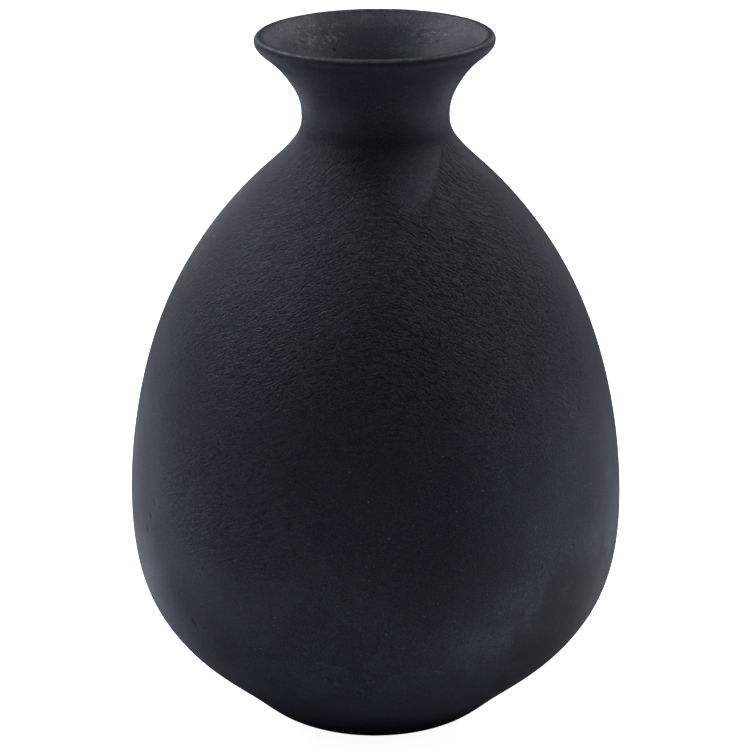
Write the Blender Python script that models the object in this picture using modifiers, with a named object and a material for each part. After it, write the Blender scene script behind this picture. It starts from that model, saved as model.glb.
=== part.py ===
"""Black clay pot: a round-bellied jar with a narrow neck and a flared mouth, in one fired piece.

The pot stands on Z = 0 with its axis on Z. All sizes are in metres. Its wall is one closed section,
turned about the axis: the flat inside floor, the inner wall, the rounded lip, the outer wall and the
flat that the pot stands on.
"""
import math

import bpy
import numpy as np

# ---- Driving dimensions ----
HEIGHT = 0.330              # from the standing face to the top of the lip
LIP_RADIUS = 0.0024         # the rounded lip, seen in section
LIP_RING_RADIUS = 0.0521    # from the pot's axis to the middle of the lip
LIP_START_ANGLE = math.radians(135.0)   # where the inner face of the flare runs into the lip
FLOOR_THICKNESS = 0.0090    # at the foot, where the pot is heaviest
BELLY_THICKNESS = 0.0065
BELLY_HEIGHT = 0.0900       # above this the wall thins evenly, up to the lip

# The outer wall from the foot to under the lip: (distance from the axis, height).
OUTER_WALL = (
    (0.0235, 0.0000),       # edge of the standing face
    (0.0330, 0.0040),       # foot
    (0.0478, 0.0100),
    (0.0614, 0.0200),       # low curve
    (0.0838, 0.0380),
    (0.1050, 0.0660),
    (0.1133, 0.1120),       # widest part of the belly
    (0.1090, 0.1585),
    (0.0953, 0.2045),       # shoulder
    (0.0721, 0.2440),
    (0.0505, 0.2675),       # where the shoulder turns up into the neck
    (0.0378, 0.2805),
    (0.0342, 0.2870),
    (0.0335, 0.2930),       # narrowest part of the neck
    (0.0346, 0.3005),
    (0.0394, 0.3100),       # flare of the mouth
    (0.0486, 0.3200),
)

# ---- Fineness of the turned surface ----
FINE_POINTS = 600           # for measuring the outer wall's length and turning
OUTER_POINTS = 32
INNER_POINTS = 20
LIP_POINTS = 6
TURN_STEPS = 56
MERGE_DISTANCE = 0.00001

# ---- Fired clay ----
CLAY_COLOUR = (0.022, 0.025, 0.031, 1.0)
CLAY_ROUGHNESS = 0.62
CLAY_METALLIC = 0.0


def remove_everything():
    """Empty the scene of its objects."""
    for thing in list(bpy.data.objects):
        bpy.data.objects.remove(thing, do_unlink=True)


def spline_second_derivatives(knots, values, start_slope, end_slope):
    """Second derivatives, at the knots, of the cubic spline through values.

    A slope of None leaves that end free to run straight, and a number is the slope there.
    """
    gaps = np.diff(knots)
    rates = np.diff(values) / gaps
    count = len(knots)
    matrix = np.eye(count)
    sums = np.zeros(count)
    for i in range(1, count - 1):
        matrix[i, i - 1:i + 2] = gaps[i - 1], 2.0 * (gaps[i - 1] + gaps[i]), gaps[i]
        sums[i] = 6.0 * (rates[i] - rates[i - 1])
    if start_slope is not None:
        matrix[0, :2] = 2.0 * gaps[0], gaps[0]
        sums[0] = 6.0 * (rates[0] - start_slope)
    if end_slope is not None:
        matrix[-1, -2:] = gaps[-1], 2.0 * gaps[-1]
        sums[-1] = 6.0 * (end_slope - rates[-1])
    return np.linalg.solve(matrix, sums)


def spline_values(knots, values, bends, places):
    """The spline's values and slopes at places, from its second derivatives at the knots."""
    span = np.clip(np.searchsorted(knots, places, side="right") - 1, 0, len(knots) - 2)
    gap = knots[span + 1] - knots[span]
    after = (places - knots[span]) / gap
    before = 1.0 - after
    value = (before * values[span] + after * values[span + 1]
             + ((before ** 3 - before) * bends[span] + (after ** 3 - after) * bends[span + 1])
             * gap ** 2 / 6.0)
    slope = ((values[span + 1] - values[span]) / gap
             + ((3.0 * after ** 2 - 1.0) * bends[span + 1] - (3.0 * before ** 2 - 1.0) * bends[span])
             * gap / 6.0)
    return value, slope


def outer_curve(places):
    """Points and unit tangents of the outer wall, from 0 at the foot to 1 at the lip.

    The curve is a cubic spline along the stations of OUTER_WALL. It ends upright at the lip's
    outermost point, so that the lip's round continues it.
    """
    lip_edge = (LIP_RING_RADIUS + LIP_RADIUS, HEIGHT - LIP_RADIUS)
    stations = np.array(OUTER_WALL + (lip_edge,))
    lengths = np.hypot(*np.diff(stations, axis=0).T)
    knots = np.concatenate(([0.0], np.cumsum(lengths)))
    ends = ((None, 0.0), (None, 1.0))
    points = np.empty((len(places), 2))
    tangents = np.empty((len(places), 2))
    for axis, (start_slope, end_slope) in enumerate(ends):
        values = stations[:, axis]
        bends = spline_second_derivatives(knots, values, start_slope, end_slope)
        points[:, axis], tangents[:, axis] = spline_values(knots, values, bends, places * knots[-1])
    tangents /= np.linalg.norm(tangents, axis=1)[:, None]
    return points, tangents


def outer_wall(count):
    """Points and unit tangents, foot to lip, set closer together where the wall bends more.

    Each step covers an equal share of the wall's length and of its turning, added together.
    """
    fine_places = np.linspace(0.0, 1.0, FINE_POINTS)
    points, tangents = outer_curve(fine_places)
    steps = np.hypot(*np.diff(points, axis=0).T)
    turns = np.hypot(*np.diff(tangents, axis=0).T)
    shares = steps / steps.sum() + turns / turns.sum()
    covered = np.concatenate(([0.0], np.cumsum(shares)))
    even_shares = np.linspace(0.0, covered[-1], count)
    return outer_curve(np.interp(even_shares, covered, fine_places))


def wall_thickness(height):
    """Thick at the floor, even round the belly, thinning to the lip's own thickness."""
    heights = (0.0, BELLY_HEIGHT, HEIGHT - LIP_RADIUS)
    thicknesses = (FLOOR_THICKNESS, BELLY_THICKNESS, 2.0 * LIP_RADIUS)
    return np.interp(height, heights, thicknesses)


def inner_wall(count):
    """Points from the edge of the inside floor to the flare: the outer wall, moved in square to itself."""
    points, tangents = outer_wall(count)
    inward = np.column_stack((-tangents[:, 1], tangents[:, 0]))
    moved = points + inward * wall_thickness(points[:, 1])[:, None]
    flare_height = OUTER_WALL[-1][1]
    return moved[points[:, 1] <= flare_height]


def lip_round(count):
    """Points over the top of the lip, from where the flare's inner face meets it to its outermost point.

    The outermost point itself is left out, because the outer wall ends there.
    """
    angles = np.linspace(LIP_START_ANGLE, 0.0, count + 1)[:-1]
    return np.column_stack((LIP_RING_RADIUS + LIP_RADIUS * np.cos(angles),
                            HEIGHT - LIP_RADIUS + LIP_RADIUS * np.sin(angles)))


def pot_section():
    """The wall's whole section, from the inside floor's middle, over the lip, to the foot's middle."""
    inside = inner_wall(INNER_POINTS)
    outside, _ = outer_wall(OUTER_POINTS)
    floor_middle = ((0.0, inside[0, 1]),)
    foot_middle = ((0.0, 0.0),)
    return np.concatenate((floor_middle, inside, lip_round(LIP_POINTS), outside[::-1], foot_middle))


def turned_object(name, section, material, collection):
    """An object whose section, a line at +X, is turned about Z by a Screw modifier."""
    mesh = bpy.data.meshes.new(name)
    places = [(radius, 0.0, height) for radius, height in section]
    edges = [(i, i + 1) for i in range(len(places) - 1)]
    mesh.from_pydata(places, edges, [])
    mesh.materials.append(material)
    turned = bpy.data.objects.new(name, mesh)
    collection.objects.link(turned)
    screw = turned.modifiers.new("turned_about_axis", "SCREW")
    screw.axis = "Z"
    screw.angle = math.tau
    screw.screw_offset = 0.0
    screw.steps = TURN_STEPS
    screw.render_steps = TURN_STEPS
    screw.use_merge_vertices = True
    screw.merge_threshold = MERGE_DISTANCE
    screw.use_smooth_shade = True
    return turned


def fired_clay():
    """Unglazed clay, burnt black in a smoky kiln."""
    material = bpy.data.materials.new("fired_black_clay")
    material.use_nodes = True
    shader = material.node_tree.nodes["Principled BSDF"]
    shader.inputs["Base Color"].default_value = CLAY_COLOUR
    shader.inputs["Roughness"].default_value = CLAY_ROUGHNESS
    shader.inputs["Metallic"].default_value = CLAY_METALLIC
    return material


def main():
    remove_everything()
    collection = bpy.data.collections.new("black_clay_pot")
    bpy.context.scene.collection.children.link(collection)
    turned_object("pot", pot_section(), fired_clay(), collection)


main()
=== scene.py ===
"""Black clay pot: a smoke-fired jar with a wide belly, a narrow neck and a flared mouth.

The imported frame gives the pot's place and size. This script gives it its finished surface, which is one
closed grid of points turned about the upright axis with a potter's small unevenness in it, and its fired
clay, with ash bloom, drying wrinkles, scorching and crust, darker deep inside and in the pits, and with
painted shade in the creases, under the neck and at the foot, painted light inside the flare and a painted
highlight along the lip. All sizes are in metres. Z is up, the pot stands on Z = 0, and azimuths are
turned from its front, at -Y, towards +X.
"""

import math

import bpy
import numpy as np
from bpy.props import FloatProperty, FloatVectorProperty, PointerProperty
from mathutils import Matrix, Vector


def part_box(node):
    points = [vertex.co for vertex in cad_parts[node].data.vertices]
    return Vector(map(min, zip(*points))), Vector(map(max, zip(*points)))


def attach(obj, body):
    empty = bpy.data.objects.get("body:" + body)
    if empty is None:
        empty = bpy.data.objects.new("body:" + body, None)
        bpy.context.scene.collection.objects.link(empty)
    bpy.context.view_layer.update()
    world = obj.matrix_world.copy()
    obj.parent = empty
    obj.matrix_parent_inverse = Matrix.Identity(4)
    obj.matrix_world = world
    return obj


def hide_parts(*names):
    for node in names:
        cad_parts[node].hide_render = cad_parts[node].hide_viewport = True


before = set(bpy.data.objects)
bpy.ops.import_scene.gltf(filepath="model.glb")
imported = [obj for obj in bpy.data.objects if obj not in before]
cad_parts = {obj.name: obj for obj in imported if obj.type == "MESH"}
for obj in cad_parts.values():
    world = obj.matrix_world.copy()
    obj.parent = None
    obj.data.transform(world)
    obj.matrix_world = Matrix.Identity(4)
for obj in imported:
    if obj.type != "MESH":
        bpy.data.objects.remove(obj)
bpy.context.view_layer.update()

bl_info = {
    "name": "Black Clay Pot",
    "version": (1, 0, 0),
    "blender": (4, 5, 0),
    "location": "View3D > Sidebar > Clay Pot",
    "description": "A turned, smoke-fired clay pot and a small studio to show it in",
    "category": "Add Mesh",
}

# ---- The frame's sizes ----
POT_LOW, POT_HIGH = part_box("pot")
HEIGHT = POT_HIGH.z
BELLY_RADIUS = (POT_HIGH.x - POT_LOW.x) / 2.0

# The outer wall from the foot to under the lip, as shares of the belly's radius and of the height.
OUTER_WALL = (
    (0.208, 0.000),         # edge of the standing face
    (0.292, 0.012),         # foot
    (0.422, 0.030),
    (0.542, 0.061),         # low curve
    (0.740, 0.115),
    (0.928, 0.200),
    (1.001, 0.339),         # widest part of the belly
    (0.963, 0.480),
    (0.842, 0.620),         # shoulder
    (0.637, 0.739),
    (0.446, 0.811),         # where the shoulder turns up into the neck
    (0.334, 0.850),
    (0.302, 0.870),
    (0.296, 0.888),         # narrowest part of the neck
    (0.306, 0.911),
    (0.348, 0.939),         # flare of the mouth
    (0.429, 0.970),
)
LIP_RING_SHARE = 0.460      # from the axis to the middle of the lip, as a share of the belly's radius
LIP_START = math.radians(135.0)     # where the flare's inner face runs into the lip's round
BELLY_SHARE = 0.27          # up to this share of the height the wall stays as thick as the belly

# ---- Fineness of the surface ----
OUTSIDE_ROWS = 220
LIP_ROWS = 24
FLARE_ROWS = 12             # of the inner face, between the offset wall and the lip
INSIDE_ROWS = 50
COLUMNS = 320
FINE_POINTS = 3000
OUTSIDE_SHEET = 0.70        # share of the flat map that the outside gets

# ---- The hand's unevenness: waves round the pot, radians per metre of height, start ----
WANDER = ((2, 11.0, 0.6), (3, -17.0, 2.2), (4, 26.0, 4.1), (7, 41.0, 1.1), (11, -58.0, 3.0))
# How far the wall's middle strays towards +X: share of the height, metres.
BOW = ((0.00, 0.0), (0.06, -0.00012), (0.26, 0.00026), (0.42, 0.0), (0.60, -0.00016), (0.72, 0.00006),
       (0.83, 0.00040), (0.90, 0.00008), (0.97, -0.00034), (1.00, -0.00034))
LIP_WANDER = ((9, 0.3), (17, 2.0), (29, 4.4), (43, 1.2), (61, 5.1))
RING_PITCH = 0.0034         # between the throwing rings

# ---- Wrinkles ----
WRINKLE_LENGTH = 0.0046
WRINKLE_WIDTH = 0.00140
ARCH_BEND = 0.2             # in radians round the pot, how softly the wrinkles turn at the front
ARCH_STEEPNESS = (0.50, 1.10)       # how far they drop for each metre round: shoulder, neck
FOLD_WIDTH = 0.095          # half-width of a crease, in the noise's own height
LONG_FOLD_WIDTH = 0.040
LONG_STRETCH = (0.30, 0.30, 0.50)   # of the wrinkle space, for the long creases

# ---- Zones of the wall ----
# Where each begins, is full, begins to fade and ends: azimuths in degrees, then heights.
WRINKLED_RIGHT = (-8.0, 12.0, 46.0, 82.0)
WRINKLED_LEFT = (-88.0, -22.0, -8.0, 12.0)
WRINKLED_HEIGHTS = (0.136, 0.224, 0.279, 0.288)
EARTHY_HEIGHTS = (0.135, 0.235, 0.285, 0.292)
WRINKLED_BACK = 2.5         # azimuth of the wrinkles at the back, in radians
CREASED_HEIGHTS = (0.222, 0.258)    # from none to full
# Painted shade at the foot, fading upwards from the floor, and darker clay deep inside:
FOOT_PAINTED_SHADE = (0.008, 0.030)          # from full to none
INSIDE_DARKENING = (0.20, 0.29)          # from full to none
# A painted highlight: a thin lighter line along the top of the lip.
LIP_HIGHLIGHT = (0.9985, 0.0012)     # middle and half-width, as shares of the height

# The smooth tongue of bloom that hangs from the neck: its tip's height, how far round from the front
# its middle is, and its half-width, in metres.
TONGUE_TIP = 0.2585
TONGUE_MIDDLE = 0.0145
TONGUE_HALF_WIDTH = 0.017

# ---- Blots: azimuth in degrees, height, half-widths, strength ----
# Broad ash clouds are lighter, and smoked places, with a strength below 0, are darker. The darkest, under
# the neck at the front, is partly a darker patch of clay and partly painted shade in the neck's turn.
CLOUDS_AND_NECK_SHADE = (
    (-29.0, 0.231, 27.0, 0.026, 0.70), (28.0, 0.246, 14.0, 0.012, 0.40),
    (24.0, 0.192, 18.0, 0.020, 0.35), (40.0, 0.137, 22.0, 0.034, 0.45),
    (-4.0, 0.119, 18.0, 0.024, 0.30), (-38.0, 0.064, 26.0, 0.017, 0.40),
    (12.0, 0.072, 34.0, 0.022, 0.80), (-20.0, 0.052, 40.0, 0.016, 0.70),
    (150.0, 0.200, 34.0, 0.030, 0.60), (-150.0, 0.110, 30.0, 0.030, 0.50),
    (-52.0, 0.177, 15.0, 0.034, -0.45), (19.0, 0.112, 14.0, 0.018, -0.40),
    # The first blot on this line is partly painted shade in the turn under the neck.
    (-2.0, 0.284, 24.0, 0.011, -1.00), (-110.0, 0.220, 20.0, 0.030, -0.40),
    (-170.0, 0.250, 26.0, 0.020, -0.50),
)
LOW_WRINKLES = ((-34.0, 0.145, 20.0, 0.034, 0.55),)
SCORCH = ((62.0, 0.068, 28.0, 0.034, 1.0),)
SCORCH_FRINGE = ((57.0, 0.073, 33.0, 0.040, 1.0),)
MOUTH_CRUST = ((-140.0, 0.3212, 20.0, 0.0042, 1.0), (139.0, 0.3212, 15.0, 0.0036, 1.0),
               (20.0, 0.3120, 40.0, 0.0060, 0.5))
MOUTH_HAZE = ((154.0, 0.3165, 12.0, 0.0022, 1.0),)
# The smudges' places and half-widths round the pot are in metres from the front.
SMUDGES = ((-0.092, 0.250, 0.006, 0.004, 0.5), (-0.066, 0.262, 0.005, 0.004, 0.5))

# ---- Pits and grits: azimuth in degrees, height, radius ----
PITS = (
    (-64.0, 0.118, 0.0027), (-62.0, 0.126, 0.0023), (-66.0, 0.110, 0.0024),
    (-34.0, 0.112, 0.0023), (-24.0, 0.126, 0.0025), (-19.5, 0.133, 0.0030),
    (-49.0, 0.074, 0.0031), (-45.0, 0.073, 0.0016), (-33.0, 0.104, 0.0015),
    (-48.0, 0.118, 0.0018), (-29.0, 0.272, 0.0017), (128.0, 0.150, 0.0024),
    (171.0, 0.094, 0.0028), (-142.0, 0.206, 0.0022),
)
MOUTH_PITS = ((-149.0, 0.3150, 0.0019), (135.0, 0.3195, 0.0017), (-128.0, 0.3205, 0.0011))
GRITS = ((3.0, 0.129, 0.0005), (-77.5, 0.240, 0.0006), (150.0, 0.190, 0.0005))
PIT_WOBBLE = 0.0011         # how far a pit's edge strays from a circle

# ---- Patterns of the clay: noise cells to a metre ----
CLOUD_CELLS = 22.0
WISP_CELLS = 48.0
PATCH_CELLS = 60.0
PINHOLE_CELLS = 130.0
SAND_CELLS = 360.0
MOTTLE_CELLS = 420.0
WOBBLE_CELLS = 700.0
GRAIN_CELLS = 1500.0
MOTE_CELLS = 1900.0

# ---- The studio ----
FLOOR_RINGS = (0.1, 30.0, 14)       # innermost and outermost radius, number
FLOOR_DROP = 0.0002         # below the standing face
SHADE_DROP = 0.0008
SHADE_HOLE = 0.05
SHEET_CORNERS = 48
SKY_COLOUR = (0.84, 0.91, 1.0)
SENSOR_WIDTH = 36.0
CAMERA_SHIFT = 0.0008
AIM_SHARE = 0.511           # of the height, where the camera looks
# Name, azimuth and height above the horizon in degrees, watts, colour. The low ones shine up from below.
LAMPS = (
    ("front_low", 0.0, -25.0, 1.7, (0.86, 0.94, 1.00)),
    ("right_lowest", 60.0, -50.0, 3.2, (0.83, 0.89, 1.00)),
    ("left_front_low", -50.0, -25.0, 2.6, (0.80, 0.88, 1.00)),
    ("right_low", 80.0, -25.0, 4.9, (0.78, 0.88, 1.00)),
    ("left_low", -80.0, -25.0, 4.4, (0.77, 0.85, 1.00)),
    ("right_side", 110.0, -10.0, 3.1, (0.79, 0.87, 1.00)),
    ("left_side", -110.0, -10.0, 3.7, (0.76, 0.83, 1.00)),
    ("right_rim", 140.0, -25.0, 1.8, (0.87, 0.88, 1.00)),
    ("left_rim", -140.0, -25.0, 3.3, (0.79, 0.84, 1.00)),
    ("right_back", 150.0, 10.0, 1.4, (0.87, 0.88, 1.00)),
    ("left_back", -150.0, 10.0, 2.1, (0.87, 0.90, 1.00)),
    ("right_high", 120.0, 45.0, 6.7, (0.90, 0.92, 1.00)),
    ("left_high", -120.0, 45.0, 11.1, (0.81, 0.87, 1.00)),
)


class PotShape(bpy.types.PropertyGroup):
    """Sizes of the pot's wall and of the marks that the potter's hands left in it."""
    lip_radius: FloatProperty(
        name="Lip radius", description="Radius of the rounded lip, seen in section",
        default=0.0024, min=0.001, max=0.006, unit="LENGTH", precision=4)
    floor_thickness: FloatProperty(
        name="Floor thickness", description="Thickness of the clay at the foot",
        default=0.0090, min=0.003, max=0.02, unit="LENGTH", precision=4)
    belly_thickness: FloatProperty(
        name="Belly thickness", description="Thickness of the clay round the belly",
        default=0.0065, min=0.003, max=0.015, unit="LENGTH", precision=4)
    wander: FloatProperty(
        name="Wander", description="How far the wall strays from a true round",
        default=0.00022, min=0.0, max=0.002, unit="LENGTH", precision=5)
    ring_depth: FloatProperty(
        name="Ring depth", description="Depth of the throwing rings round the neck and inside",
        default=0.00007, min=0.0, max=0.001, unit="LENGTH", precision=5)
    rim_tilt: FloatProperty(
        name="Rim tilt", description="How far the rim leans, higher at +X",
        default=math.radians(0.5), min=0.0, max=math.radians(3.0), subtype="ANGLE")


class PotFinish(bpy.types.PropertyGroup):
    """Colours and relief of the fired clay."""
    clay: FloatVectorProperty(
        name="Clay", description="The smoke-fired clay", subtype="COLOR",
        default=(0.0170, 0.0190, 0.0256), min=0.0, max=1.0)
    earth: FloatVectorProperty(
        name="Earth", description="Where the clay burnt browner", subtype="COLOR",
        default=(0.0198, 0.0196, 0.0242), min=0.0, max=1.0)
    bloom: FloatVectorProperty(
        name="Bloom", description="Blue ash bloom", subtype="COLOR",
        default=(0.0350, 0.0405, 0.0500), min=0.0, max=1.0)
    scorch: FloatVectorProperty(
        name="Scorch", description="The dull brown patch", subtype="COLOR",
        default=(0.0120, 0.0118, 0.0132), min=0.0, max=1.0)
    # The beige of the crust in the mouth, which also paints the highlight along the top of the lip.
    crust_and_highlight: FloatVectorProperty(
        name="Grime", description="Beige crust in the mouth and on the worn lip", subtype="COLOR",
        default=(0.0900, 0.0820, 0.0760), min=0.0, max=1.0)
    # A brown-grey dusting inside the flare, laid on lighter towards the lip and the sides, partly as
    # painted light.
    dust_and_light: FloatVectorProperty(
        name="Dust", description="Brown-grey dust inside the flare", subtype="COLOR",
        default=(0.0900, 0.0830, 0.0900), min=0.0, max=1.0)
    grit: FloatVectorProperty(
        name="Grit", description="Pale specks of sand in the clay", subtype="COLOR",
        default=(0.2500, 0.2500, 0.2600), min=0.0, max=1.0)
    # The darker colour of the pits and of the clay deep inside, which also paints the shade at the foot.
    dark_and_foot_shade: FloatVectorProperty(
        name="Soot", description="Soot at the foot and deep inside", subtype="COLOR",
        default=(0.0060, 0.0065, 0.0080), min=0.0, max=1.0)
    roughness: FloatProperty(
        name="Roughness", description="Dullness of the clay", subtype="FACTOR",
        default=0.55, min=0.0, max=1.0)
    gloss: FloatProperty(
        name="Gloss", description="Strength of the clay's gloss", subtype="FACTOR",
        default=0.20, min=0.0, max=1.0)
    wrinkle_depth: FloatProperty(
        name="Wrinkle depth", description="Depth of the drying wrinkles",
        default=0.00080, min=0.0, max=0.002, unit="LENGTH", precision=5)
    grain_depth: FloatProperty(
        name="Grain depth", description="Depth of the clay's grain",
        default=0.00005, min=0.0, max=0.0005, unit="LENGTH", precision=5)


class Studio(bpy.types.PropertyGroup):
    """The floor, the lights and the camera."""
    floor_colour: FloatVectorProperty(
        name="Floor", description="Colour of the floor", subtype="COLOR",
        default=(0.90, 0.90, 0.90), min=0.0, max=1.0)
    floor_glow: FloatProperty(
        name="Floor glow",
        description="Light that the floor gives back by itself, to keep it evenly pale",
        default=0.95, min=0.0, max=2.0)
    lamp_strength: FloatProperty(
        name="Lamp strength", description="Share of the lamps' full power",
        default=1.0, min=0.0, max=4.0)
    lamp_size: FloatProperty(
        name="Lamp size", description="Width of each square soft lamp",
        default=0.7, min=0.05, max=3.0, unit="LENGTH")
    lamp_distance: FloatProperty(
        name="Lamp distance", description="From the pot's middle to each lamp",
        default=1.4, min=0.5, max=5.0, unit="LENGTH")
    fill: FloatProperty(
        name="Fill", description="Strength of the soft light from overhead",
        default=0.83, min=0.0, max=5.0)
    foot_shade: FloatProperty(
        name="Foot shade", description="Radius of the shade that keeps the low lamps off the foot",
        default=0.088, min=0.06, max=0.5, unit="LENGTH")
    camera_distance: FloatProperty(
        name="Camera distance", description="From the camera to the pot's axis, along its view",
        default=1.9367, min=0.5, max=10.0, unit="LENGTH")
    camera_drop: FloatProperty(
        name="Camera drop", description="How far the camera looks down",
        default=math.radians(17.3), min=0.0, max=math.radians(80.0), subtype="ANGLE")
    lens: FloatProperty(
        name="Lens", description="Focal length on a 36 mm sensor, in millimetres",
        default=201.0, min=20.0, max=400.0)


# ---- The wall's section ----
def spline_bends(knots, stations, end_slope):
    """Second derivatives at the knots of the cubic spline through stations, for each column.

    The spline leaves its first station straight and reaches its last one with end_slope.
    """
    gaps = np.diff(knots)
    rates = np.diff(stations, axis=0) / gaps[:, None]
    count = len(knots)
    middle = np.arange(1, count - 1)
    matrix = np.zeros((count, count))
    matrix[middle, middle - 1] = gaps[:-1]
    matrix[middle, middle] = 2.0 * (gaps[:-1] + gaps[1:])
    matrix[middle, middle + 1] = gaps[1:]
    matrix[0, 0] = 1.0
    matrix[-1, -2:] = gaps[-1], 2.0 * gaps[-1]
    sums = np.zeros_like(stations)
    sums[1:-1] = 6.0 * np.diff(rates, axis=0)
    sums[-1] = 6.0 * (np.array(end_slope) - rates[-1])
    return np.linalg.solve(matrix, sums)


def outer_curve(shape, places):
    """Points (radius, height) and unit tangents of the outer wall, from 0 at the foot to 1 at the lip.

    A cubic spline along the stations of OUTER_WALL, which ends upright at the lip's outermost point.
    """
    lip_edge = (LIP_RING_SHARE * BELLY_RADIUS + shape.lip_radius, HEIGHT - shape.lip_radius)
    stations = np.vstack((np.array(OUTER_WALL) * (BELLY_RADIUS, HEIGHT), lip_edge))
    knots = np.concatenate(([0.0], np.cumsum(np.hypot(*np.diff(stations, axis=0).T))))
    bends = spline_bends(knots, stations, (0.0, 1.0))
    lengths = places * knots[-1]
    span = np.clip(np.searchsorted(knots, lengths, side="right") - 1, 0, len(knots) - 2)
    gap = (knots[span + 1] - knots[span])[:, None]
    after = (lengths - knots[span])[:, None] / gap
    before = 1.0 - after
    low, high = stations[span], stations[span + 1]
    low_bend, high_bend = bends[span] * gap / 6.0, bends[span + 1] * gap / 6.0
    points = (before * low + after * high
              + ((before ** 3 - before) * low_bend + (after ** 3 - after) * high_bend) * gap)
    slopes = ((high - low) / gap + (3.0 * after ** 2 - 1.0) * high_bend
              - (3.0 * before ** 2 - 1.0) * low_bend)
    return points, slopes / np.linalg.norm(slopes, axis=1)[:, None]


def outer_wall(shape, count):
    """Points and unit tangents from the foot to the lip, closer together where the wall bends more.

    Each step covers an equal share of the wall's length and of its turning, added together.
    """
    fine_places = np.linspace(0.0, 1.0, FINE_POINTS)
    points, tangents = outer_curve(shape, fine_places)
    steps = np.hypot(*np.diff(points, axis=0).T)
    turns = np.hypot(*np.diff(tangents, axis=0).T)
    covered = np.concatenate(([0.0], np.cumsum(steps / steps.sum() + turns / turns.sum())))
    return outer_curve(shape, np.interp(np.linspace(0.0, covered[-1], count), covered, fine_places))


def inner_wall(shape, count):
    """Points from the inside floor's edge to the flare: the outer wall moved in square to itself."""
    thicknesses = (shape.floor_thickness, shape.belly_thickness, 2.0 * shape.lip_radius)
    points, tangents = outer_wall(shape, count)
    thickness = np.interp(points[:, 1], (0.0, BELLY_SHARE * HEIGHT, HEIGHT), thicknesses)
    inward = np.column_stack((-tangents[:, 1], tangents[:, 0]))
    below_lip = points[:, 1] <= OUTER_WALL[-1][1] * HEIGHT
    return (points + inward * thickness[:, None])[below_lip], tangents[below_lip]


def lip_round(shape):
    """Points of the half round over the lip, and the direction in which it starts."""
    angles = np.linspace(LIP_START, 0.0, LIP_ROWS + 1)[:-1]
    points = np.column_stack((LIP_RING_SHARE * BELLY_RADIUS + shape.lip_radius * np.cos(angles),
                              HEIGHT - shape.lip_radius + shape.lip_radius * np.sin(angles)))
    return points, np.array((math.sin(LIP_START), -math.cos(LIP_START)))


def bridge(start, start_way, end, end_way, count):
    """Points between two ends, without the ends: the cubic that leaves and arrives along their ways."""
    length = np.hypot(*(end - start))
    share = np.linspace(0.0, 1.0, count + 2)[1:-1, None]
    return ((2.0 * share ** 3 - 3.0 * share ** 2 + 1.0) * start
            + (share ** 3 - 2.0 * share ** 2 + share) * length * start_way
            + (3.0 * share ** 2 - 2.0 * share ** 3) * end
            + (share ** 3 - share ** 2) * length * end_way)


def wall_section(shape):
    """The section's points from the inside floor, over the lip, to the foot, and how many lie inside."""
    inside, ways = inner_wall(shape, INSIDE_ROWS)
    lip, lip_way = lip_round(shape)
    flare = bridge(inside[-1], ways[-1], lip[0], lip_way, FLARE_ROWS)
    outside, _ = outer_wall(shape, OUTSIDE_ROWS)
    return np.concatenate((inside, flare, lip, outside[::-1])), len(inside) + len(flare)


# ---- Soft shapes of marks ----
def ease(value, start, end):
    """0 up to start and 1 from end, with an S-shaped rise between them."""
    share = np.clip((value - start) / (end - start), 0.0, 1.0)
    return share * share * (3.0 - 2.0 * share)


def eased_between(value, stations):
    """The stations' second numbers, joined by S-shaped steps along their first ones."""
    places, heights = np.array(stations).T
    span = np.clip(np.searchsorted(places, value, side="right") - 1, 0, len(places) - 2)
    rise = ease(value, places[span], places[span + 1])
    return heights[span] + rise * (heights[span + 1] - heights[span])


def band(value, start, full, fade, end):
    """0 up to start, 1 from full to fade and 0 from end, with S-shaped slopes between them."""
    return ease(value, start, full) * (1.0 - ease(value, fade, end))


def blots(across, height, marks, softness):
    """Soft ellipses, added up: each is its strength inside and 0 outside.

    The distance from an ellipse's middle is measured in its own half-widths, and its edge fades over
    softness, a share of its size.
    """
    total = 0.0
    for middle, level, half_width, half_height, strength in marks:
        distance = np.hypot((across - middle) / half_width, (height - level) / half_height)
        total = total + strength * (1.0 - ease(distance, 1.0 - softness, 1.0 + softness))
    return total


# ---- The pot's surface ----
def wander_of(turn, height):
    """A slow unevenness, between about -1 and 1: waves that lean as they climb, longer ones stronger."""
    total = sum(np.cos(waves * turn + lean * height + start) / waves for waves, lean, start in WANDER)
    return total / sum(1.0 / waves for waves, _, _ in WANDER)


def pot_surface(shape, section, inside_rows):
    """The pot's points, as rows along its section and columns round its axis.

    A point is (r sin turn, -r cos turn, z), where r is the section's radius plus the wander, the
    throwing rings and the lip's small waves, and z is its height plus the lean of the rim.
    """
    turn = np.linspace(-math.pi, math.pi, COLUMNS, endpoint=False)[None, :]
    radius, height = section[:, :1], section[:, 1:]
    inside = (np.arange(len(section)) < inside_rows)[:, None]
    share = height / HEIGHT
    body = ease(radius / BELLY_RADIUS, 0.0, 0.25)
    neck = band(share, 0.83, 0.87, 0.955, 0.985)
    lip = ease(share, 0.975, 0.992)
    rings = (np.cos(math.tau * height / RING_PITCH + turn)
             * (0.6 + 0.4 * np.cos(2.0 * turn + 310.0 * height)))
    ripple = sum(np.cos(waves * turn + start) for waves, start in LIP_WANDER) / len(LIP_WANDER)
    wide = (radius + shape.wander * body * wander_of(turn, height)
            + shape.ring_depth * rings * np.maximum(0.6 * neck, 0.5 * inside * body)
            + 0.6 * shape.wander * lip * ripple)
    lean = math.tan(shape.rim_tilt) * ease(share, 0.86, 1.0)
    sideways = eased_between(share, BOW)
    lip_waves = 0.35 * shape.wander * lip * np.roll(ripple, 40, axis=1)
    high = height + lean * wide * np.sin(turn) + lip_waves
    return np.stack((wide * np.sin(turn) + sideways, -wide * np.cos(turn), high), axis=-1), turn


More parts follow.
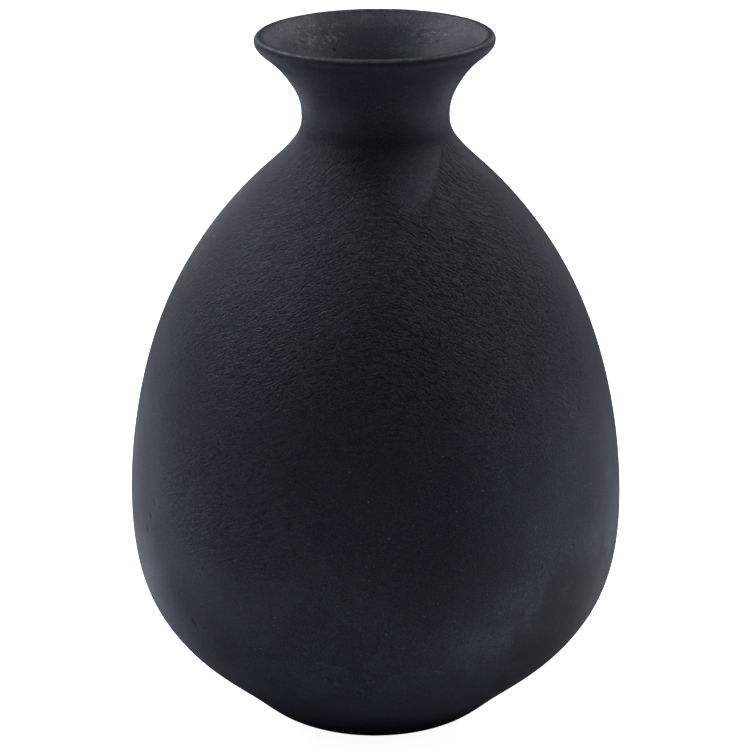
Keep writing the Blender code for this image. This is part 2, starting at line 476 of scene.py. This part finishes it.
def grid_faces(rows, columns):
    """Corner numbers of the closed skin over a grid of points.

    Each square joins neighbours of two rows and two columns, the last column meets the first one, and
    a fan of triangles closes each end on a middle point, which are numbered after the grid.
    """
    number = np.arange(rows * columns).reshape(rows, columns)
    beside = np.roll(number, -1, axis=1)
    squares = np.stack((number[:-1], number[1:], beside[1:], beside[:-1]), axis=-1).reshape(-1, 4)
    first_middle, last_middle = rows * columns, rows * columns + 1
    start_fan = np.stack((np.full(columns, first_middle), number[0], beside[0]), axis=-1)
    end_fan = np.stack((number[-1], np.full(columns, last_middle), beside[-1]), axis=-1)
    return squares, start_fan, end_fan


def flat_map(section, inside_rows):
    """Places on the flat map, for the corners of grid_faces: across by turn, up along the section.

    The outside gets OUTSIDE_SHEET of the map's height and the inside gets the rest.
    """
    steps = np.hypot(*np.diff(section, axis=0).T)
    within, without = steps[:inside_rows].sum(), steps[inside_rows:].sum()
    shares = np.concatenate((steps[:inside_rows] / within * (1.0 - OUTSIDE_SHEET),
                             steps[inside_rows:] / without * OUTSIDE_SHEET))
    up = 0.005 + 0.99 * np.concatenate(([0.0], np.cumsum(shares)))
    left = np.arange(COLUMNS) / COLUMNS
    right = left + 1.0 / COLUMNS
    low, high = up[:-1, None] + 0.0 * left, up[1:, None] + 0.0 * left
    wide_left, wide_right = left + 0.0 * low, right + 0.0 * low
    squares = np.stack((np.stack((wide_left, low), -1), np.stack((wide_left, high), -1),
                        np.stack((wide_right, high), -1), np.stack((wide_right, low), -1)), axis=-2)
    middle = (left + right) / 2.0
    bottom, top = np.full(COLUMNS, up[0]), np.full(COLUMNS, up[-1])
    start_fan = np.stack((np.stack((middle, 0.0 * bottom), -1), np.stack((left, bottom), -1),
                          np.stack((right, bottom), -1)), axis=-2)
    end_fan = np.stack((np.stack((left, top), -1), np.stack((middle, 0.0 * top + 1.0), -1),
                        np.stack((right, top), -1)), axis=-2)
    return np.concatenate([part.reshape(-1, 2) for part in (squares, start_fan, end_fan)])


def surface_zones(turn, section, inside_rows):
    """How strongly each finish shows at each point, as soft shapes of its place on the wall."""
    radius, height = section[:, :1], section[:, 1:] + 0.0 * turn
    around = radius * turn
    degrees = np.degrees(turn) + 0.0 * height
    outside = (np.arange(len(section)) >= inside_rows)[:, None] + 0.0 * turn
    inside = 1.0 - outside
    backward = -np.cos(turn)

    tongue_rise = ((height - TONGUE_TIP) / TONGUE_HALF_WIDTH
                   - ((around - TONGUE_MIDDLE) / TONGUE_HALF_WIDTH) ** 2)
    tongue_left = 1.0 - ease(around, 0.002, 0.022)
    smooth = ease(tongue_rise, -0.10, 0.15 + 0.9 * tongue_left)

    right = band(degrees, *WRINKLED_RIGHT)
    left = band(degrees, *WRINKLED_LEFT)
    left *= 0.80 - 0.35 * ease(height, 0.205, 0.235) + 0.35 * ease(height, 0.262, 0.272)
    back = 0.8 * ease(np.cos(turn - WRINKLED_BACK), 0.40, 0.95)
    tall = band(height, *WRINKLED_HEIGHTS)
    low_left = blots(degrees, height, LOW_WRINKLES, 0.7)
    wrinkled = outside * np.maximum(tall * (right + left + back), low_left) * (1.0 - smooth)

    bloomed = smooth * (0.3 + 0.7 * ease(around, -0.002, 0.018)) * (1.0 - ease(height, 0.274, 0.286))
    fringe = blots(degrees, height, SCORCH_FRINGE, 0.30) * ease(height, 0.060, 0.085)
    scorched = blots(degrees, height, SCORCH, 0.42) + blots(around, height, SMUDGES, 0.6)
    # Lighter inside the flare, towards the lip and towards the sides: partly a dusting, partly painted
    # light.
    lip_dust_and_light = ease(height, 0.3215, 0.3265) * (0.60 + 0.40 * ease(backward, 0.95, 0.60))
    flare_dust_and_light = 0.55 * ease(height, 0.300, 0.315) * ease(backward, 0.90, 0.50)
    return {
        "wrinkled": wrinkled,
        "bloomed": (outside * np.maximum(bloomed, fringe)
                    + inside * blots(degrees, height, MOUTH_HAZE, 0.7)),
        # Ash clouds and smoked places, with painted shade under the neck.
        "clouded_and_neck_shaded": outside * blots(degrees, height, CLOUDS_AND_NECK_SHADE, 0.95),
        "creased": wrinkled * ease(height, *CREASED_HEIGHTS),
        "earthy": outside * band(height, *EARTHY_HEIGHTS) * (1.0 - smooth),
        "scorched": np.clip(outside * scorched, 0.0, 1.0),
        "dusty_and_lit": inside * (lip_dust_and_light + flare_dust_and_light),
        "crusted": inside * np.clip(blots(degrees, height, MOUTH_CRUST, 0.6), 0.0, 1.0),
        # Painted shade at the foot, and darker clay deep inside.
        "darkened_and_foot_shaded": np.maximum(outside * (1.0 - ease(height, *FOOT_PAINTED_SHADE)),
                            inside * (1.0 - ease(height, *INSIDE_DARKENING))),
        # A painted highlight along the top of the lip.
        "painted_highlight": np.exp(-((section[:, 1:] / HEIGHT - LIP_HIGHLIGHT[0]) / LIP_HIGHLIGHT[1]) ** 2) + 0.0 * turn,
    }


def wrinkle_space(points, turn, section):
    """A space in which even noise becomes wrinkles, long one way and narrow the other.

    The wrinkles follow lines of equal level, which is the height plus a share of the way round from the
    front, so that they arch over the shoulder. The share grows towards the neck. The way round is the
    radius times the square root of 4 sin^2(turn / 2) + ARCH_BEND^2, less ARCH_BEND, which is soft at the
    front and closes at the back. The space's X and Y are the place in wrinkle lengths, and its Z is the
    level in wrinkle widths.
    """
    radius, height = section[:, :1], section[:, 1:]
    shoulder, neck = ARCH_STEEPNESS
    steepness = shoulder + (neck - shoulder) * ease(height, 0.245, 0.280)
    way_round = radius * (np.sqrt(4.0 * np.sin(turn / 2.0) ** 2 + ARCH_BEND ** 2) - ARCH_BEND)
    space = points / WRINKLE_LENGTH
    space[..., 2] = (height + steepness * way_round) / WRINKLE_WIDTH
    return space


def pot_mesh(shape, section, inside_rows):
    """The pot's mesh, with its flat map and with each zone as an attribute of its points."""
    points, turn = pot_surface(shape, section, inside_rows)
    middles = np.array(((0.0, 0.0, section[0, 1]), (0.0, 0.0, section[-1, 1])))
    mesh = bpy.data.meshes.new("clay_pot")
    squares, start_fan, end_fan = grid_faces(len(section), COLUMNS)
    faces = squares.tolist() + start_fan.tolist() + end_fan.tolist()
    mesh.from_pydata(np.concatenate((points.reshape(-1, 3), middles)).tolist(), [], faces)
    layer = mesh.uv_layers.new(name="OFBake")
    layer.uv.foreach_set("vector", flat_map(section, inside_rows).astype(np.float32).ravel())
    for name, strength in surface_zones(turn, section, inside_rows).items():
        values = np.concatenate((strength.ravel(), (strength[0].mean(), strength[-1].mean())))
        zone = mesh.attributes.new(name, "FLOAT", "POINT")
        zone.data.foreach_set("value", values.astype(np.float32))
    space = wrinkle_space(points, turn, section)
    values = np.concatenate((space.reshape(-1, 3), space[[0, -1], 0]))
    place = mesh.attributes.new("wrinkle_space", "FLOAT_VECTOR", "POINT")
    place.data.foreach_set("vector", values.astype(np.float32).ravel())
    mesh.shade_smooth()
    mesh.validate()
    return mesh


# ---- Materials ----
def add_node(tree, kind, inputs=None, **settings):
    """A node with its settings, and with each input given as a value or as the socket that feeds it."""
    made = tree.nodes.new(kind)
    for name, value in settings.items():
        setattr(made, name, value)
    for name, value in (inputs or {}).items():
        if isinstance(value, bpy.types.NodeSocket):
            tree.links.new(value, made.inputs[name])
        else:
            made.inputs[name].default_value = value
    return made


def calculate(tree, operation, first, second=0.0, clamp=False):
    """The result of a sum on two numbers or sockets."""
    return add_node(tree, "ShaderNodeMath", {0: first, 1: second},
                    operation=operation, use_clamp=clamp).outputs[0]


def between(tree, value, low, high, to_low=0.0, to_high=1.0):
    """value eased from the range low..high to the range to_low..to_high, and held at its ends."""
    ranges = {"Value": value, "From Min": low, "From Max": high, "To Min": to_low, "To Max": to_high}
    return add_node(tree, "ShaderNodeMapRange", ranges,
                    interpolation_type="SMOOTHSTEP").outputs["Result"]


def tint(tree, share, under, over):
    """The colour under, covered by the colour over by share."""
    mixer = add_node(tree, "ShaderNodeMix", {0: share, 6: under, 7: over}, data_type="RGBA")
    return mixer.outputs[2]


def vector_sum(tree, operation, *terms):
    """The result of a sum on vectors, numbers or sockets."""
    return add_node(tree, "ShaderNodeVectorMath", dict(enumerate(terms)),
                    operation=operation).outputs["Vector"]


def noise(tree, space, scale, detail=2.0, roughness=0.5, distortion=0.0, output="Fac"):
    """Cloudy noise, about 0.5 on average, with scale cells to a metre of space."""
    made = add_node(tree, "ShaderNodeTexNoise",
                    {"Vector": space, "Scale": scale, "Detail": detail, "Roughness": roughness,
                     "Distortion": distortion})
    return made.outputs[output]


def attribute(tree, name, output="Fac"):
    """A zone's strength, read from the mesh."""
    return add_node(tree, "ShaderNodeAttribute", attribute_name=name).outputs[output]


def shared(tree, zone, amount):
    """An amount, times how strongly a zone shows."""
    return calculate(tree, "MULTIPLY", attribute(tree, zone), amount)


def opaque(colour):
    """A colour with full alpha."""
    return (*colour, 1.0)


def new_tree(name):
    """A material and its empty tree of nodes, with its output."""
    material = bpy.data.materials.new(name)
    material.use_nodes = True
    tree = material.node_tree
    tree.nodes.clear()
    return material, tree, tree.nodes.new("ShaderNodeOutputMaterial")


def spots(tree, place, side, marks, softness):
    """1 in the middle of each mark on one side of the wall and 0 outside its radius."""
    total = 0.0
    for azimuth, height, radius in marks:
        ring = float(np.interp(height, side[:, 1], side[:, 0]))
        turn = math.radians(azimuth)
        middle = (ring * math.sin(turn), -ring * math.cos(turn), height)
        away = add_node(tree, "ShaderNodeVectorMath", {0: place, 1: middle}, operation="DISTANCE")
        spot = between(tree, away.outputs["Value"], radius * softness, radius, 1.0, 0.0)
        total = calculate(tree, "MAXIMUM", total, spot)
    return total


def flecks(tree, place, scale, size, share):
    """Small round flecks, scale cells to a metre.

    Size is a fleck's radius in cells, and share is how many of the cells have one.
    """
    cells = add_node(tree, "ShaderNodeTexVoronoi", {"Vector": place, "Scale": scale})
    picked = add_node(tree, "ShaderNodeSeparateColor", {"Color": cells.outputs["Color"]}).outputs["Red"]
    fleck = between(tree, cells.outputs["Distance"], size * 0.5, size, 1.0, 0.0)
    return calculate(tree, "MULTIPLY", fleck, between(tree, picked, 1.0 - share, 1.01 - share))


def creases(tree, space, roughness, distortion, width):
    """0 along the lines where noise is 0.5, rising to 1 where it differs from that by width."""
    folds = noise(tree, space, 1.0, 1.0, roughness, distortion)
    away = calculate(tree, "ABSOLUTE", calculate(tree, "SUBTRACT", folds, 0.5))
    return between(tree, away, 0.0, width)


def wrinkle_folds(tree):
    """The wrinkles' height: 0 in a crease and 1 between creases.

    In the creased zone the short creases are shallower, and long ones run through them.
    """
    space = attribute(tree, "wrinkle_space", "Vector")
    creased = attribute(tree, "creased")
    short_folds = calculate(tree, "MAXIMUM", creases(tree, space, 0.45, 0.6, FOLD_WIDTH),
                            calculate(tree, "MULTIPLY", creased, 0.45))
    long_space = vector_sum(tree, "MULTIPLY", space, LONG_STRETCH)
    long_folds = calculate(tree, "ADD", creases(tree, long_space, 0.4, 0.5, LONG_FOLD_WIDTH),
                           calculate(tree, "SUBTRACT", 1.0, creased), clamp=True)
    return calculate(tree, "MULTIPLY", short_folds, long_folds)


def clay_pits(tree, place, outside, inside):
    """1 in the pits and pinholes and 0 round them, with the pits' edges shaken by noise."""
    wobble = noise(tree, place, WOBBLE_CELLS, output="Color")
    near = vector_sum(tree, "MULTIPLY_ADD", wobble, (2.0 * PIT_WOBBLE,) * 3, place)
    near = vector_sum(tree, "SUBTRACT", near, (PIT_WOBBLE,) * 3)
    pits = calculate(tree, "MAXIMUM", spots(tree, near, outside, PITS, 0.2),
                     spots(tree, near, inside, MOUTH_PITS, 0.2))
    return calculate(tree, "MAXIMUM", pits, flecks(tree, place, PINHOLE_CELLS, 0.085, 0.7))


def clay_layers(tree, finish, place, outside, clouds, wisps, mottle, pits, painted_crest_highlight):
    """What lies on the bare clay or is painted on it, from the first to the last: each one's share and
    colour.

    Among them are painted light in the flare, painted shade at the foot and a painted highlight on the
    lip.
    """
    earth = calculate(tree, "ADD", shared(tree, "earthy", between(tree, wisps, 0.38, 0.66)),
                      between(tree, clouds, 0.50, 0.75, 0.0, 0.30), clamp=True)
    bloom = calculate(tree, "ADD", shared(tree, "bloomed", between(tree, mottle, 0.30, 0.65, 0.2, 0.8)),
                      between(tree, clouds, 0.50, 0.25, 0.0, 0.22), clamp=True)
    scorch = calculate(tree, "ADD", attribute(tree, "scorched"),
                       between(tree, wisps, 0.35, 0.65, 0.38, -0.38))
    scorch = calculate(tree, "ADD", scorch, between(tree, mottle, 0.3, 0.7, -0.20, 0.20))
    grits = calculate(tree, "MAXIMUM", spots(tree, place, outside, GRITS, 0.5),
                      flecks(tree, place, SAND_CELLS, 0.11, 0.5))
    return (
        (earth, finish.earth),
        (bloom, finish.bloom),
        (between(tree, scorch, 0.25, 0.75, 0.0, 0.80), finish.scorch),
        # A dusting and painted light inside the flare.
        (shared(tree, "dusty_and_lit", between(tree, wisps, 0.35, 0.65, 0.40, 0.95)), finish.dust_and_light),
        (shared(tree, "crusted", between(tree, mottle, 0.50, 0.62)), finish.crust_and_highlight),
        # Painted shade at the foot, darker clay deep inside, and darker pits.
        (attribute(tree, "darkened_and_foot_shaded"), finish.dark_and_foot_shade),
        (calculate(tree, "MULTIPLY", pits, 0.90), finish.dark_and_foot_shade),
        (calculate(tree, "MULTIPLY", grits, 0.35), finish.grit),
        # The painted highlight along the top of the lip, in the crust's beige.
        (calculate(tree, "MULTIPLY", painted_crest_highlight, 0.5), finish.crust_and_highlight),
    )


def clay_tone_and_crease_shade(tree, folds, wisps, mottle, grain):
    """How light or dark the clay is, about 1: grain, mottle and clouds, with painted shade in the creases
    and under the neck.
    """
    coarse = between(tree, attribute(tree, "earthy"), 0.0, 1.0, 0.9, 1.6)
    grainy = calculate(tree, "MULTIPLY", between(tree, grain, 0.30, 0.70, -0.50, 0.60), coarse)
    # Painted shade: darker in the wrinkles' creases and a little lighter on their ridges.
    painted_crease_shade = shared(tree, "wrinkled", between(tree, folds, 0.0, 1.0, -0.80, 0.16))
    # Ash clouds and smoked places, with painted shade under the neck.
    cloud_and_neck_shade = shared(tree, "clouded_and_neck_shaded", between(tree, wisps, 0.30, 0.70, 0.15, 0.60))
    shade = between(tree, mottle, 0.25, 0.75, 0.86, 1.14)
    for change in (grainy, painted_crease_shade, cloud_and_neck_shade):
        shade = calculate(tree, "MULTIPLY", shade, calculate(tree, "ADD", change, 1.0))
    return shade


def fired_clay(finish, outside, inside):
    """Smoke-fired clay: blue-black, browner on the shoulder, bloomed, wrinkled, pitted and dusted in the
    flare.

    It has painted shade in the creases, under the neck and at the foot, painted light inside the flare
    and a painted highlight along the lip.
    """
    material, tree, output = new_tree("fired_clay")
    place = add_node(tree, "ShaderNodeTexCoord").outputs["Object"]
    clouds = noise(tree, place, CLOUD_CELLS, 4.0, 0.6, 0.4)
    wisps = noise(tree, place, WISP_CELLS, 5.0, 0.62, 0.8)
    mottle = noise(tree, place, MOTTLE_CELLS, 3.0, 0.7)
    grain = noise(tree, place, GRAIN_CELLS, 2.0, 0.8)
    motes = noise(tree, place, MOTE_CELLS, 1.0, output="Color")
    folds = wrinkle_folds(tree)
    pits = clay_pits(tree, place, outside, inside)
    # A painted highlight along the top of the lip, where the clay is also a little glossier.
    painted_crest_highlight = shared(tree, "painted_highlight", between(tree, mottle, 0.35, 0.55, 0.3, 1.0))

    colour = opaque(finish.clay)
    layers = clay_layers(tree, finish, place, outside, clouds, wisps, mottle, pits, painted_crest_highlight)
    for share, over in layers:
        colour = tint(tree, share, colour, opaque(over))
    speckle = vector_sum(tree, "MULTIPLY_ADD", motes, (2.4,) * 3, (-0.2,) * 3)
    for change in (clay_tone_and_crease_shade(tree, folds, wisps, mottle, grain), speckle):
        colour = vector_sum(tree, "MULTIPLY", colour, change)

    patchy = between(tree, noise(tree, place, PATCH_CELLS, 2.0), 0.35, 0.6, 0.55, 1.0)
    wrinkles = calculate(tree, "MULTIPLY", folds, shared(tree, "wrinkled", patchy))
    relief = add_node(tree, "ShaderNodeBump", {"Height": wrinkles, "Distance": finish.wrinkle_depth})
    fine = calculate(tree, "SUBTRACT", grain, calculate(tree, "MULTIPLY", pits, 4.0))
    relief = add_node(tree, "ShaderNodeBump",
                      {"Height": fine, "Distance": finish.grain_depth, "Normal": relief.outputs[0]})

    roughness = between(tree, clouds, 0.3, 0.7, finish.roughness - 0.04, finish.roughness + 0.05)
    roughness = calculate(tree, "SUBTRACT", roughness, calculate(tree, "MULTIPLY", painted_crest_highlight, 0.15))
    shader = add_node(tree, "ShaderNodeBsdfPrincipled", {
        "Base Color": colour, "Roughness": roughness, "Specular IOR Level": finish.gloss,
        "Normal": relief.outputs[0]})
    tree.links.new(shader.outputs[0], output.inputs["Surface"])
    return material


def pale_floor(studio):
    """An evenly pale floor: matt, with a glow of its own so that it stays pale far from the lamps."""
    material, tree, output = new_tree("pale_floor")
    matt = add_node(tree, "ShaderNodeBsdfDiffuse", {"Color": opaque(studio.floor_colour)})
    glow = add_node(tree, "ShaderNodeEmission",
                    {"Color": (1.0, 1.0, 1.0, 1.0), "Strength": studio.floor_glow})
    both = add_node(tree, "ShaderNodeAddShader", {0: matt.outputs[0], 1: glow.outputs[0]})
    tree.links.new(both.outputs[0], output.inputs["Surface"])
    return material


# ---- The studio's objects ----
def direction(azimuth, rise):
    """The unit vector towards an azimuth, from the front towards +X, and a height above the horizon."""
    level = math.cos(rise)
    return Vector((math.sin(azimuth) * level, -math.cos(azimuth) * level, math.sin(rise)))


def add_to_scene(thing):
    """The object, linked to the scene."""
    bpy.context.scene.collection.objects.link(thing)
    return thing


def add_lamp(studio, name, azimuth, rise, watts, colour):
    """A square soft lamp aimed at the pot's middle."""
    light = bpy.data.lights.new(name, "AREA")
    light.shape = "SQUARE"
    light.size = studio.lamp_size
    light.energy = watts * studio.lamp_strength
    light.color = colour
    lamp = add_to_scene(bpy.data.objects.new(name, light))
    way = direction(math.radians(azimuth), math.radians(rise))
    lamp.location = Vector((0.0, 0.0, HEIGHT / 2.0)) + way * studio.lamp_distance
    lamp.rotation_euler = way.to_track_quat("Z", "Y").to_euler()
    lamp.visible_camera = False


def round_sheet(name, radii, height, material):
    """A flat round object: rings of points, closed on one many-sided middle face."""
    turn = np.linspace(0.0, math.tau, SHEET_CORNERS, endpoint=False)[None, :]
    rings = np.array(radii)[:, None]
    points = np.stack((rings * np.cos(turn), rings * np.sin(turn), height + 0.0 * rings * turn), axis=-1)
    squares, _, _ = grid_faces(len(rings), SHEET_CORNERS)
    middle = list(range(SHEET_CORNERS))
    mesh = bpy.data.meshes.new(name)
    mesh.from_pydata(points.reshape(-1, 3).tolist(), [], [middle] + squares.tolist())
    mesh.materials.append(material)
    sheet = add_to_scene(bpy.data.objects.new(name, mesh))
    return sheet


def add_floor(studio):
    """A floor that lets the low lamps shine through it, and a round shade under it for the foot."""
    floor = round_sheet("floor", np.geomspace(*FLOOR_RINGS), -FLOOR_DROP, pale_floor(studio))
    floor.visible_shadow = False
    floor.visible_diffuse = False
    floor.visible_glossy = False
    shade_material, tree, output = new_tree("black_shade")
    matt = add_node(tree, "ShaderNodeBsdfDiffuse", {"Color": (0.0, 0.0, 0.0, 1.0)})
    tree.links.new(matt.outputs[0], output.inputs["Surface"])
    round_sheet("foot_shade", (SHADE_HOLE, studio.foot_shade), -SHADE_DROP, shade_material)


def add_world(studio):
    """Soft light from overhead, which the camera sees as a pale backdrop all round."""
    world = bpy.data.worlds.new("studio")
    world.use_nodes = True
    tree = world.node_tree
    tree.nodes.clear()
    way = add_node(tree, "ShaderNodeTexCoord").outputs["Generated"]
    upward = add_node(tree, "ShaderNodeSeparateXYZ", {"Vector": way}).outputs["Z"]
    overhead = between(tree, upward, 0.3, 0.9, 0.0, studio.fill)
    soft = add_node(tree, "ShaderNodeBackground", {"Color": opaque(SKY_COLOUR), "Strength": overhead})
    pale = add_node(tree, "ShaderNodeBackground", {"Color": (1.0, 1.0, 1.0, 1.0), "Strength": 1.0})
    seen = add_node(tree, "ShaderNodeLightPath").outputs["Is Camera Ray"]
    mixed = add_node(tree, "ShaderNodeMixShader", {0: seen, 1: soft.outputs[0], 2: pale.outputs[0]})
    output = tree.nodes.new("ShaderNodeOutputWorld")
    tree.links.new(mixed.outputs[0], output.inputs["Surface"])
    bpy.context.scene.world = world


def add_camera(studio):
    """A long lens, in front of the pot and above it."""
    camera_data = bpy.data.cameras.new("camera")
    camera_data.sensor_width = SENSOR_WIDTH
    camera_data.lens = studio.lens
    camera_data.shift_x = CAMERA_SHIFT
    camera = add_to_scene(bpy.data.objects.new("camera", camera_data))
    aim = Vector((0.0, 0.0, AIM_SHARE * HEIGHT))
    camera.location = aim + direction(0.0, studio.camera_drop) * studio.camera_distance
    camera.rotation_euler = (math.pi / 2.0 - studio.camera_drop, 0.0, 0.0)
    bpy.context.scene.camera = camera


class CLAYPOT_OT_add_pot(bpy.types.Operator):
    """Make the clay pot in its finished shape and clay"""
    bl_idname = "clay_pot.add_pot"
    bl_label = "Add Pot"
    bl_options = {"REGISTER", "UNDO"}

    def execute(self, context):
        shape = context.scene.pot_shape
        section, inside_rows = wall_section(shape)
        outside, inside = section[inside_rows + LIP_ROWS:][::-1], section[:inside_rows]
        mesh = pot_mesh(shape, section, inside_rows)
        mesh.materials.append(fired_clay(context.scene.pot_finish, outside, inside))
        pot = add_to_scene(bpy.data.objects.new("clay_pot", mesh))
        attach(pot, "root")
        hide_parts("pot")
        return {"FINISHED"}


class CLAYPOT_OT_add_stage(bpy.types.Operator):
    """Make the floor, the lamps and the camera"""
    bl_idname = "clay_pot.add_stage"
    bl_label = "Add Stage"
    bl_options = {"REGISTER", "UNDO"}

    def execute(self, context):
        studio = context.scene.pot_studio
        add_floor(studio)
        add_world(studio)
        for lamp in LAMPS:
            add_lamp(studio, *lamp)
        add_camera(studio)
        context.scene.view_settings.view_transform = "Standard"
        return {"FINISHED"}


class CLAYPOT_PT_sidebar(bpy.types.Panel):
    """Clay pot tools"""
    bl_idname = "CLAYPOT_PT_sidebar"
    bl_label = "Clay Pot"
    bl_space_type = "VIEW_3D"
    bl_region_type = "UI"
    bl_category = "Clay Pot"

    def draw(self, context):
        scene = context.scene
        for operator, groups in (("clay_pot.add_pot", (scene.pot_shape, scene.pot_finish)),
                                 ("clay_pot.add_stage", (scene.pot_studio,))):
            box = self.layout.box()
            for group in groups:
                for name in group.__annotations__:
                    box.prop(group, name)
            box.operator(operator)


CLASSES = (PotShape, PotFinish, Studio, CLAYPOT_OT_add_pot, CLAYPOT_OT_add_stage, CLAYPOT_PT_sidebar)


def register():
    for made in CLASSES:
        bpy.utils.register_class(made)
    bpy.types.Scene.pot_shape = PointerProperty(type=PotShape)
    bpy.types.Scene.pot_finish = PointerProperty(type=PotFinish)
    bpy.types.Scene.pot_studio = PointerProperty(type=Studio)


def unregister():
    for name in ("pot_studio", "pot_finish", "pot_shape"):
        delattr(bpy.types.Scene, name)
    for made in reversed(CLASSES):
        bpy.utils.unregister_class(made)


def main():
    """Register the tools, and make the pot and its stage."""
    register()
    bpy.ops.clay_pot.add_stage()
    bpy.ops.clay_pot.add_pot()


if __name__ == "__main__":
    main()
